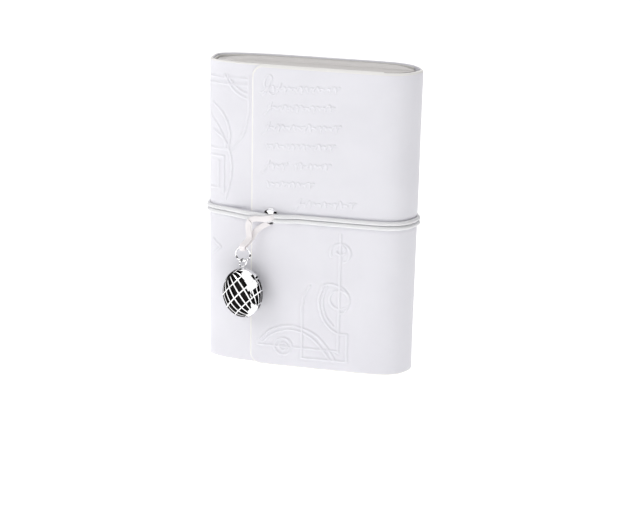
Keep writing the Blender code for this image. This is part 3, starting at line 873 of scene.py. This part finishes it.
def gathering(k):
    """A group of nested sheets as one mesh of separate closed strips."""
    verts, faces = [], []
    for j in range(SHEETS_EACH):
        share = (k + j / SHEETS_EACH) / GATHERINGS
        thick = 0.86 / (GATHERINGS * SHEETS_EACH)
        outer, inner = folded_sheet(share, thick, rng.uniform(0, 0.5) * MM)
        low = SHEET_LOW + rng.uniform(0, 0.15) * MM
        high = SHEET_HIGH - rng.uniform(0, 0.22) * MM
        rings = []
        for (ox, oy), (ix, iy) in zip(outer, inner):
            base = len(verts)
            fold = FOLD_DROP * min(max((FOLD_FROM_X - ox) / FOLD_RUN, 0), 1)
            verts += [(ox, oy, low), (ox, oy, high - fold), (ix, iy, high - fold), (ix, iy, low)]
            rings.append([base, base + 1, base + 2, base + 3])
        faces += ring_faces(rings)
    block = new_object(f"folded_sheets_{k + 1}", verts, faces, [page_edge, page_paper], 30)
    for polygon in block.data.polygons:
        fore_edge = polygon.center.x > 0 and polygon.area < EDGE_AREA
        polygon.material_index = 0 if fore_edge or abs(polygon.normal.z) > 0.5 else 1
    return block


for k in range(GATHERINGS):
    sheets = gathering(k)
    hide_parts(f"sheets_front_{k + 1}", f"sheets_rear_{k + 1}")
    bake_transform(sheets)
print(GATHERINGS * SHEETS_EACH, "folded sheets")

# %% [markdown]
# The end papers and the sewing thread already have their true shape in the working model, so they
# stay as they are and only get their finish.

# %% End papers and thread
def refinish(node, finish):
    """Gives a node of the working model its final material."""
    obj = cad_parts[node]
    obj.data.materials.clear()
    obj.data.materials.append(finish)


for node in ("endpaper_front", "endpaper_rear"):
    refinish(node, end_paper)
refinish("binding_thread", thread_finish)

# %% [markdown]
# ## The cord
# One elastic cord goes twice round the book. It lies on the leather except at the stud, where both
# strands are pressed into the groove. Each long stretch is one swept tube that crosses a fold of
# the cover; the short loop over the stud is a piece of its own, which lifts off the leather.

# %% Measures of the cord, and one strand of it
CORD_RADIUS = (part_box("cord_back_upper")[1][2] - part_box("cord_back_upper")[0][2]) / 2
CORD_PITCH = middle("cord_back_upper").z - middle("cord_back_lower").z
CORD_OUT = CORD_RADIUS - SUNK + 0.05 * MM
stud_middle = middle("stud_cap")
loop_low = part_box("cord_loop")[0]
SPLIT_X = loop_low[0]
STUD_CORD_Y = loop_low[1] + CORD_RADIUS


def on_cover(x, half_t, proud):
    """The place of a point that stands proud of the front of the book at x."""
    return MID_Y - depth_at(x, HALF_W, half_t) - proud


def wrap_route(side, half_t, x_from, x_to):
    """The cord's plan route on one side of the book."""
    return half_outline(HALF_W + CORD_OUT, half_t + CORD_OUT, side, x_from, x_to)


def ribbed_section(turn):
    """The strand's section, whose ribs turn slowly along it."""
    return round_section(CORD_RADIUS, 24, 8, 0.022, turn)


def cord_stretch(name, plan, lift, nodes):
    """One strand of a stretch that follows the leather where it crosses a fold."""
    path, _, along = resample(without_repeats(plan), lambda x, s: 0.55 * MM)
    route = [Vector((x, y, CORD_Z + lift)) for x, y in path]

    def section(i):
        return ribbed_section(1.9 * along[i] / MM)

    strand = sweep(name, route, section, lambda i: UP, [cord_finish])
    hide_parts(*nodes)
    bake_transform(strand)


# %% [markdown]
# The strands round the spine run from the middle of the back to a join on the front cover. Those
# round the fore-edge come over the flap, rise off the leather and end in the groove of the stud.

# %% Routes of the two strands
JOIN_X = -47.0 * MM
left_plan = wrap_route(1, HALF_T, -HALF_W - CORD_OUT, 0.0)[::-1]
left_plan += wrap_route(-1, FRONT_T, -HALF_W - CORD_OUT, JOIN_X)

approach = [
    (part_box("cord_flap_upper")[0][0], STUD_CORD_Y, 0),
    (stud_middle.x + 4.8 * MM, STUD_CORD_Y, 0),
    (stud_middle.x + 8.5 * MM, on_cover(-11.8 * MM, HALF_T, CORD_RADIUS + 0.7 * MM), 0),
    (stud_middle.x + 14.0 * MM, on_cover(-6.3 * MM, HALF_T, CORD_OUT + 0.1 * MM), 0),
]
right_plan = [(p.x, p.y) for p in smooth_route(approach, 0.4 * MM)]
right_plan += wrap_route(-1, HALF_T, -3.0 * MM, HALF_W + CORD_OUT)
right_plan += wrap_route(1, HALF_T, 0.0, HALF_W + CORD_OUT)[::-1]

for label, lift in (("upper", CORD_PITCH / 2), ("lower", -CORD_PITCH / 2)):
    nodes = [f"cord_front_{label}", f"cord_back_{label}"]
    cord_stretch(f"cord_round_spine_{label}", left_plan, lift, nodes)
    nodes = [f"cord_flap_{label}"]
    cord_stretch(f"cord_round_fore_edge_{label}", right_plan, lift, nodes)

# %% [markdown]
# The loop is the end of the doubled cord. Its two strands leave the cover side by side and turn back
# on each other past the stud, so the route is one strand, a half circle, and the same strand again.

# %% The loop that snaps over the stud
loop_points = [
    (JOIN_X - 1.5 * MM, on_cover(JOIN_X - 1.5 * MM, FRONT_T, CORD_OUT), 0),
    (JOIN_X, on_cover(JOIN_X, FRONT_T, CORD_OUT), 0),
    (-40.5 * MM, on_cover(-40.5 * MM, FRONT_T, CORD_OUT + 1.1 * MM), 0),
    (SPLIT_X, on_cover(SPLIT_X, HALF_T, CORD_RADIUS + 0.1 * MM), 0),
    (-31.0 * MM, on_cover(-31.0 * MM, HALF_T, CORD_RADIUS + 0.4 * MM), 0),
    (-27.5 * MM, on_cover(-27.5 * MM, HALF_T, CORD_RADIUS + 1.0 * MM), 0),
    (stud_middle.x - 3.0 * MM, STUD_CORD_Y, 0),
    (stud_middle.x - 0.3 * MM, STUD_CORD_Y, 0),
]
upper = [p + UP * (CORD_Z + CORD_PITCH / 2) for p in smooth_route(loop_points, 0.5 * MM)]
lower = [p - UP * CORD_PITCH for p in reversed(upper)]
turn_centre = Vector((upper[-1].x, STUD_CORD_Y, CORD_Z))
turn = []
for i in range(1, 14):
    angle = math.pi / 2 - math.pi * i / 14
    turn.append(turn_centre + Vector((math.cos(angle), 0, math.sin(angle))) * CORD_PITCH / 2)
loop_route = upper + turn + lower
OUTWARD = Vector((0, -1, 0))
cord_loop = sweep(
    "cord_loop_over_stud",
    loop_route,
    lambda i: ribbed_section(0.95 * i),
    lambda i: OUTWARD,
    [cord_finish],
)
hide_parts("cord_loop")
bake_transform(cord_loop)
print("strand diameter", round(2 * CORD_RADIUS / MM, 2), "mm")

# %% [markdown]
# ## The stud
# The stud is a metal button: a round base, and a dome cut into flat facets. Facets are painted black
# by turns as painted dark reflections, so the dome flashes black and white. A groove milled across it
# takes both strands. The facets are rings of few sides, turned half a step from tier to tier.

# %% Facets of the stud
stud_low, stud_high = (Vector(p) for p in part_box("stud_cap"))
STUD_RADIUS = (stud_high.x - stud_low.x) / 2
STUD_SIDES = 12
base_y, top_y = stud_high.y, stud_low.y
tiers = (
    (1.00, 0.00, 0.0),
    (1.00, 0.12, 0.0),
    (0.97, 0.16, 0.0),
    (0.86, 0.48, 0.5),
    (0.60, 0.78, 0.0),
    (0.34, 0.95, 0.5),
    (0.33, 0.96, 0.5),
)
verts, rings = [], []
for reach, rise, turn_step in tiers:
    ring = []
    for j in range(STUD_SIDES):
        angle = math.tau * (j + turn_step - 0.5) / STUD_SIDES
        ring.append(len(verts))
        x = stud_middle.x + STUD_RADIUS * reach * math.cos(angle)
        z = stud_middle.z + STUD_RADIUS * reach * math.sin(angle)
        verts.append((x, base_y + (top_y - base_y) * rise, z))
    rings.append(ring)
faces = [tuple(rings[0]), tuple(reversed(rings[-1]))]
painted_reflection_facets = [0, 0]
for tier, (low_ring, high_ring) in enumerate(zip(rings, rings[1:])):
    for j in range(STUD_SIDES):
        k = (j + 1) % STUD_SIDES
        faces.append((low_ring[j], low_ring[k], high_ring[j]))
        faces.append((low_ring[k], high_ring[k], high_ring[j]))
        # Painted dark reflections: black on half the facets of the middle tiers, by turns.
        painted_reflection_facets += [int(1 < tier < 5 and j % 4 < 2)] * 2
stud = new_object("faceted_stud", verts, faces, [silver, blackening_and_painted_reflection], 5)
stud.data.polygons.foreach_set("material_index", np.array(painted_reflection_facets, dtype=np.int32))

# %% [markdown]
# The groove is a block taken away from the dome with a Boolean, and a narrow bevel then wears the
# sharp edges down. Both are modifiers, which are turned into plain geometry at the end.

# %% Mill the groove and wear the edges
groove = bpy.data.objects.new("groove", bpy.data.meshes.new("groove"))
bpy.context.scene.collection.objects.link(groove)
bm = bmesh.new()
bmesh.ops.create_cube(bm, size=1.0)
tall = CORD_PITCH + 2 * CORD_RADIUS + 0.6 * MM
floor_y = base_y - 0.8 * MM
bmesh.ops.scale(bm, verts=bm.verts, vec=(20 * MM, 10 * MM, tall))
bmesh.ops.translate(bm, verts=bm.verts, vec=(stud_middle.x, floor_y - 5 * MM, CORD_Z))
bm.to_mesh(groove.data)
bm.free()
cutting = stud.modifiers.new("groove", "BOOLEAN")
cutting.object = groove
cutting.operation = "DIFFERENCE"
softened = stud.modifiers.new("worn_edges", "BEVEL")
softened.width = 0.07 * MM
softened.segments = 2
softened.limit_method = "ANGLE"
softened.angle_limit = math.radians(20)


def settle(obj):
    """Turns an object's modifiers into plain geometry."""
    depsgraph = bpy.context.evaluated_depsgraph_get()
    mesh = bpy.data.meshes.new_from_object(obj.evaluated_get(depsgraph))
    obj.modifiers.clear()
    obj.data = mesh


settle(stud)
bpy.data.objects.remove(groove)
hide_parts("stud_cap")
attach(stud, "flap_body")
for node in ("stud_post", "stud_washer"):
    refinish(node, silver)

# %% [markdown]
# ## The lace
# The charm hangs on a narrow leather lace. Both of its legs leave the stud, the upper one lying
# along the strands, and they close into one thin band that turns through the jump ring. It is a
# strap with rounded edges, carried along its route while the direction across it slowly twists.

# %% Lace with its two legs
ring_middle = middle("jump_ring")
ring_low, ring_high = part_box("jump_ring")
bail_middle = middle("charm_bail")
RING_WIRE = (ring_high[1] - ring_low[1]) / 2
RING_RADIUS = (ring_high[0] - ring_low[0]) / 2 - RING_WIRE
LACE_WIDE, LACE_THICK = 3.1 * MM, 1.0 * MM
over_y = STUD_CORD_Y - CORD_RADIUS - 0.75 * MM
wire_top = ring_middle.z + RING_RADIUS
bend = RING_WIRE + 0.4 * MM + LACE_THICK / 2
DOWN, LEFT = (0.1, 0, -1), (-1, 0, 0)


def by_stud(x, y, z, across):
    """A station of the lace, in millimetres from the stud, and the direction across it there."""
    return Vector((stud_middle.x + x * MM, over_y + y * MM, CORD_Z + z * MM)), Vector(across)


def by_ring(x, y, z):
    """A station at the top of the jump ring, in metres."""
    return Vector((ring_middle.x + x * MM, ring_middle.y + y, wire_top + z)), Vector(LEFT)


stations = [
    by_stud(2.6, 2.6, 1.5, (0.3, 0, -0.9)),
    by_stud(1.9, 1.0, 1.2, (0.3, 0, -0.9)),
    by_stud(0.4, 0.1, 0.7, DOWN),
    by_stud(-2.2, 0, 0.1, DOWN),
    by_stud(-5.5, 0, -0.2, DOWN),
    by_stud(-8.0, -0.2, -0.3, DOWN),
    by_stud(-10.4, -0.4, -1.6, (-0.6, 0, -0.8)),
    by_stud(-11.3, -0.6, -4.4, (-1, 0, -0.2)),
    by_stud(-10.8, -1.0, -8.0, (-1, 0, 0.1)),
    by_stud(-10.8, -1.6, -11.5, (-1, 0, 0.2)),
    by_ring(0.3, -bend - 0.2 * MM, 1.6 * MM),
]
for i in range(7):
    angle = math.pi * i / 6
    stations.append(by_ring(0, -bend * math.cos(angle), -1.3 * bend * math.sin(angle)))
stations += [
    by_ring(2.0, bend + 0.2 * MM, 1.6 * MM),
    by_stud(-9.2, 0.5, -11.0, (-1, 0, 0.4)),
    by_stud(-7.5, 1.6, -7.8, (-0.8, 0, 0.6)),
    by_stud(-5.0, 2.2, -5.6, (-0.7, 0, 0.7)),
    by_stud(-2.0, 2.4, -3.6, (-0.6, 0, 0.8)),
    by_stud(-0.4, 2.6, -2.9, (-0.6, 0, 0.8)),
]

# %% [markdown]
# The strap's section is a flat oblong with round edges. The direction across it is known at the
# stations, and a straight blend between them gives it at every ring of the sweep.

# %% Sweep the strap
LACE_STEP = 0.3 * MM
WIDE_POWER, THICK_POWER = 0.35, 0.75


def strap_section(wide, thick):
    """A flat section with rounded edges."""
    points = []
    for j in range(20):
        angle = math.tau * j / 20
        c, s = math.cos(angle), math.sin(angle)
        u = math.copysign(abs(c) ** WIDE_POWER, c) * wide / 2
        v = math.copysign(abs(s) ** THICK_POWER, s) * thick / 2
        points.append((u, v))
    return points


lace_route = smooth_route([place for place, _ in stations], LACE_STEP)
where = [0]
for (a, _), (b, _) in zip(stations, stations[1:]):
    where.append(where[-1] + max(1, round((b - a).length / LACE_STEP)))


def across_lace(i):
    """The direction across the strap at a ring of the sweep."""
    return Vector([np.interp(i, where, [across[k] for _, across in stations]) for k in range(3)])


lace_section = strap_section(LACE_WIDE, LACE_THICK)
lace = sweep("charm_lace_strap", lace_route, lambda i: lace_section, across_lace, [lace_leather])
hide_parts("charm_lace")
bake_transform(lace)

# %% [markdown]
# ## Rings and globe
# The jump ring is a length of round wire bent until its ends meet, and the seam where they meet
# shows. The bail is the small closed ring on the globe's top. The globe is a cast shell: bars of
# latitude and longitude on a leaning axis, with raised, made-up lands, over blackened hollows. Its
# grid of points follows the bars, so their edges stay crisp.

# %% Jump ring and bail
RING_STEPS, SEAM_TURN = 72, 0.9


def wire_ring(name, centre, radius, wire, turned, seam=0.0):
    """An upright ring of wire, turned about Z; a seam leaves a hair's gap between its ends."""
    plane = Matrix.Rotation(turned, 3, "Z")
    route = []
    for i in range(RING_STEPS + (1 if seam else 0)):
        angle = seam / 2 + (math.tau - seam) * i / RING_STEPS + SEAM_TURN
        spoke = Vector((math.cos(angle), 0, math.sin(angle)))
        route.append(centre + plane @ spoke * radius)
    axis = plane @ Vector((0, 1, 0))
    section = round_section(wire, 16)
    return sweep(name, route, lambda i: section, lambda i: axis, [wire_silver], not seam)


jump_ring = wire_ring("jump_ring_wire", ring_middle, RING_RADIUS, RING_WIRE, 0.0, 0.05)
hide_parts("jump_ring")
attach(jump_ring, "ring_body")
bail_low, bail_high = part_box("charm_bail")
BAIL_WIRE = 0.4 * MM
BAIL_RADIUS = (bail_high[2] - bail_low[2]) / 2 - BAIL_WIRE
bail = wire_ring("charm_bail_ring", bail_middle, BAIL_RADIUS, BAIL_WIRE, math.radians(45))
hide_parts("charm_bail")
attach(bail, "globe_body")

# %% [markdown]
# The lands are outlines drawn flat, as they are seen from in front of the charm, with the globe's
# middle at zero and its rim at one. A small ripple roughens the coasts.

# %% Where the lands lie
def inside(u, v, outline):
    """Whether a point lies inside a closed outline, by counting its crossings."""
    found = False
    for (au, av), (bu, bv) in zip(outline, outline[1:] + outline[:1]):
        if (av > v) != (bv > v) and u < au + (v - av) * (bu - au) / (bv - av):
            found = not found
    return found


# fmt: off
NORTH_LAND = [
    (-0.10, 0.92), (0.08, 1.0), (0.46, 0.86), (0.80, 0.72), (0.66, 0.62), (0.42, 0.62),
    (0.44, 0.46), (0.60, 0.42), (0.76, 0.36), (0.66, 0.16), (0.56, 0.02), (0.42, -0.05),
    (0.26, 0.0), (0.16, -0.08), (0.10, 0.14), (0.03, 0.42), (-0.07, 0.60), (-0.10, 0.78),
]
ISTHMUS = [(0.16, 0.0), (0.34, -0.04), (0.40, -0.22), (0.46, -0.36), (0.38, -0.36), (0.28, -0.20)]
SOUTH_LAND = [
    (0.36, -0.52), (0.56, -0.46), (0.74, -0.60), (0.66, -0.82), (0.46, -1.0), (0.16, -1.0),
    (0.20, -0.76),
]
FAR_LAND = [
    (-0.6, 0.7), (-0.1, 0.8), (0.3, 0.5), (0.2, 0.1), (0.4, -0.3), (0.1, -0.6),
    (-0.2, -0.2), (-0.5, 0.1),
]
# fmt: on


def is_land(u, v, near):
    """A made-up coast, drawn flat as it is seen from the front, and another on the back."""
    u += 0.035 * math.sin(23 * v + 3 * u)
    v += 0.035 * math.sin(19 * u + 5 * v)
    if not near:
        return inside(u, v, FAR_LAND)
    return any(inside(u, v, land) for land in (NORTH_LAND, ISTHMUS, SOUTH_LAND))


# %% [markdown]
# A place on the globe is a share of the way round and a share of the way down from the pole. The
# skin is full height on a land, a little lower on a bar, and deep in a hollow.

# %% Axis and bars of the globe
globe_low, globe_high = (Vector(p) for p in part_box("globe_core"))
GLOBE_CENTRE = (globe_low + globe_high) / 2
CORE_SHARE = 0.83
GLOBE_HALF = [(globe_high[k] - globe_low[k]) / 2 / CORE_SHARE for k in range(3)]
MERIDIANS, PARALLELS = 20, 6
ACROSS = Vector((0.98, 0.20, 0))
UPRIGHT = Vector((-0.06, 0.32, 0.946))
POLE = (ACROSS * -0.607 + UPRIGHT * 0.795).normalized()
TOWARDS = ACROSS.cross(UPRIGHT).normalized()
SIDEWAYS = POLE.cross(TOWARDS)


def near_bar(fraction, half_bar):
    """Whether a place between two bars is on one of them."""
    return min(fraction, 1 - fraction) <= half_bar


def stops(count, half_bar):
    """Places along one direction: close pairs at each bar's edges, and even ones in the hollow."""
    top, foot = half_bar * 0.98, half_bar * 1.15
    offsets = [0.0, top, *np.linspace(foot, 1 - foot, 7), 1 - top]
    return [(k + f) / count for k in range(count) for f in offsets]


# %% [markdown]
# The grid is wound round the leaning axis, in rings from pole to pole. A face is bright where all
# its corners are raised, and the walls and floors of the hollows are blackened.

# %% Cast globe
BAR_LON, BAR_LAT, SOUTH_END = 0.105, 0.052, 0.9995
LAND_SKIN, BAR_SKIN, HOLLOW_SKIN = 0.995, 0.96, 0.85
verts, rings, raised = [], [], []
for v in stops(PARALLELS, BAR_LAT)[1:] + [SOUTH_END]:
    polar = math.pi * v
    ring = []
    for u in stops(MERIDIANS, BAR_LON):
        angle = math.tau * u
        spot = POLE * math.cos(polar) + TOWARDS * math.sin(polar) * math.cos(angle)
        spot += SIDEWAYS * math.sin(polar) * math.sin(angle)
        on_bar = near_bar(u * MERIDIANS % 1, BAR_LON) or near_bar(v * PARALLELS % 1, BAR_LAT)
        land = is_land(spot.dot(ACROSS), spot.dot(UPRIGHT), spot.dot(TOWARDS) > 0)
        skin = LAND_SKIN if land else BAR_SKIN if on_bar else HOLLOW_SKIN
        ring.append(len(verts))
        raised.append(skin > HOLLOW_SKIN)
        verts.append([GLOBE_CENTRE[k] + GLOBE_HALF[k] * skin * spot[k] for k in range(3)])
    rings.append(ring)
globe = new_object("cast_globe", verts, ring_faces(rings), [silver, blackening_and_painted_reflection], 35)
for polygon in globe.data.polygons:
    bright = all(raised[v] for v in polygon.vertices) or len(polygon.vertices) > 4
    polygon.material_index = 0 if bright else 1
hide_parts("globe_cage", "globe_core", "globe_land_north", "globe_land_south")
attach(globe, "globe_body")
print("globe:", len(verts), "points")

# %% [markdown]
# ## Studio
# The journal stands on a plain white floor. The floor is large enough to reach past every view, and
# it glows a little, as a lit sweep of white paper does, so it stays white round the book.

# %% Floor
FLOOR_HALF = 20.0
corners = [(x * FLOOR_HALF, y * FLOOR_HALF, 0) for x, y in ((-1, -1), (1, -1), (1, 1), (-1, 1))]
floor = new_object("floor", corners, [(0, 1, 2, 3)], [])
floor_finish = Finish("white_floor", (0.93, 0.93, 0.93), 0.7, Emission_Strength=0.60)
floor_finish.feed("Emission Color", (1.0, 1.0, 1.0, 1.0))
floor.data.materials.append(floor_finish.material)
floor.location.z = -0.05 * MM

# %% [markdown]
# A large soft light from the upper left gives the gentle shading over the embossing. Another above
# lights the page tops, and two more keep the right side and the back from going dull.

# %% Lights
CENTRE = Vector((0, MID_Y, HEIGHT / 2))


def soft_light(name, place, size, watts, colour=(1, 1, 1)):
    """A rectangular light at a place, turned to face the middle of the book."""
    data = bpy.data.lights.new(name, "AREA")
    data.shape = "RECTANGLE"
    data.size, data.size_y = size
    data.energy = watts
    data.color = colour
    light = bpy.data.objects.new(name, data)
    light.location = CENTRE + Vector(place)
    light.rotation_euler = (-Vector(place)).to_track_quat("-Z", "Y").to_euler()
    bpy.context.scene.collection.objects.link(light)


soft_light("key_light", (-0.55, -0.55, 0.50), (0.50, 0.50), 2.1)
soft_light("fill_light", (0.75, -0.60, 0.20), (0.40, 0.60), 0.06, (0.93, 0.94, 1.0))
soft_light("top_light", (0.0, 0.10, 0.80), (0.60, 0.60), 2.2)
soft_light("back_light", (0.25, 0.80, 0.35), (0.60, 0.60), 1.4)

# %% [markdown]
# The room is white and slightly dimmer to the right, which shades that side of the book. What the
# metal mirrors is brighter than what lights the leather, apart from a low dark wall at the back.

# %% Surroundings
world = bpy.data.worlds.new("white_studio")
bpy.context.scene.world = world
world.use_nodes = True
room = Graph(world.node_tree)
background = world.node_tree.nodes["Background"]
parts = room.node("ShaderNodeSeparateXYZ", {}, {0: room.place("Generated")})
sideways, behind, upwards = (Socket(room, parts.outputs[k]) for k in ("X", "Y", "Z"))
low_down = room.step_between(upwards, 0.50, 0.66, 1.0, 0.0)
wall = room.step_between(behind, -0.10, 0.10, 0.0, 1.0) * low_down
seen = room.out("ShaderNodeLightPath", {}, {}, "Is Camera Ray")
mirrored = room.out("ShaderNodeLightPath", {}, {}, "Is Glossy Ray")
colour = room.blend_colours(mirrored * wall * 0.97, (1, 1, 1), (0, 0, 0))
room.put(background.inputs["Color"], colour)
ambient = room.step_between(sideways, -0.3, 0.9, 0.46, 0.27)
room.put(background.inputs["Strength"], ambient + mirrored * 0.85 + seen * 0.8)
bpy.context.scene.view_settings.view_transform = "Standard"

# %% [markdown]
# ## Camera
# A long lens stands a little to the right of the front and above it, and looks down at the book.
# Its direction is set by two angles, and a small roll is added, as a hand-held camera has.

# %% Camera
AZIMUTH, ELEVATION, ROLL = math.radians(11.29), math.radians(18.84), math.radians(1.17)
DISTANCE = 0.904
level = math.cos(ELEVATION)
away = Vector((math.sin(AZIMUTH) * level, -math.cos(AZIMUTH) * level, math.sin(ELEVATION)))
right = UP.cross(away).normalized()
above = away.cross(right)
turned_right = right * math.cos(ROLL) + above * math.sin(ROLL)
turned_up = above * math.cos(ROLL) - right * math.sin(ROLL)
camera = bpy.data.objects.new("camera", bpy.data.cameras.new("camera"))
pose = Matrix((turned_right, turned_up, away)).transposed().to_4x4()
pose.translation = CENTRE + away * DISTANCE
camera.matrix_world = pose
camera.data.lens = 93.45
camera.data.sensor_width = 36.0
camera.data.shift_x = 0.0105
camera.data.shift_y = -0.0641
bpy.context.scene.collection.objects.link(camera)
bpy.context.scene.camera = camera
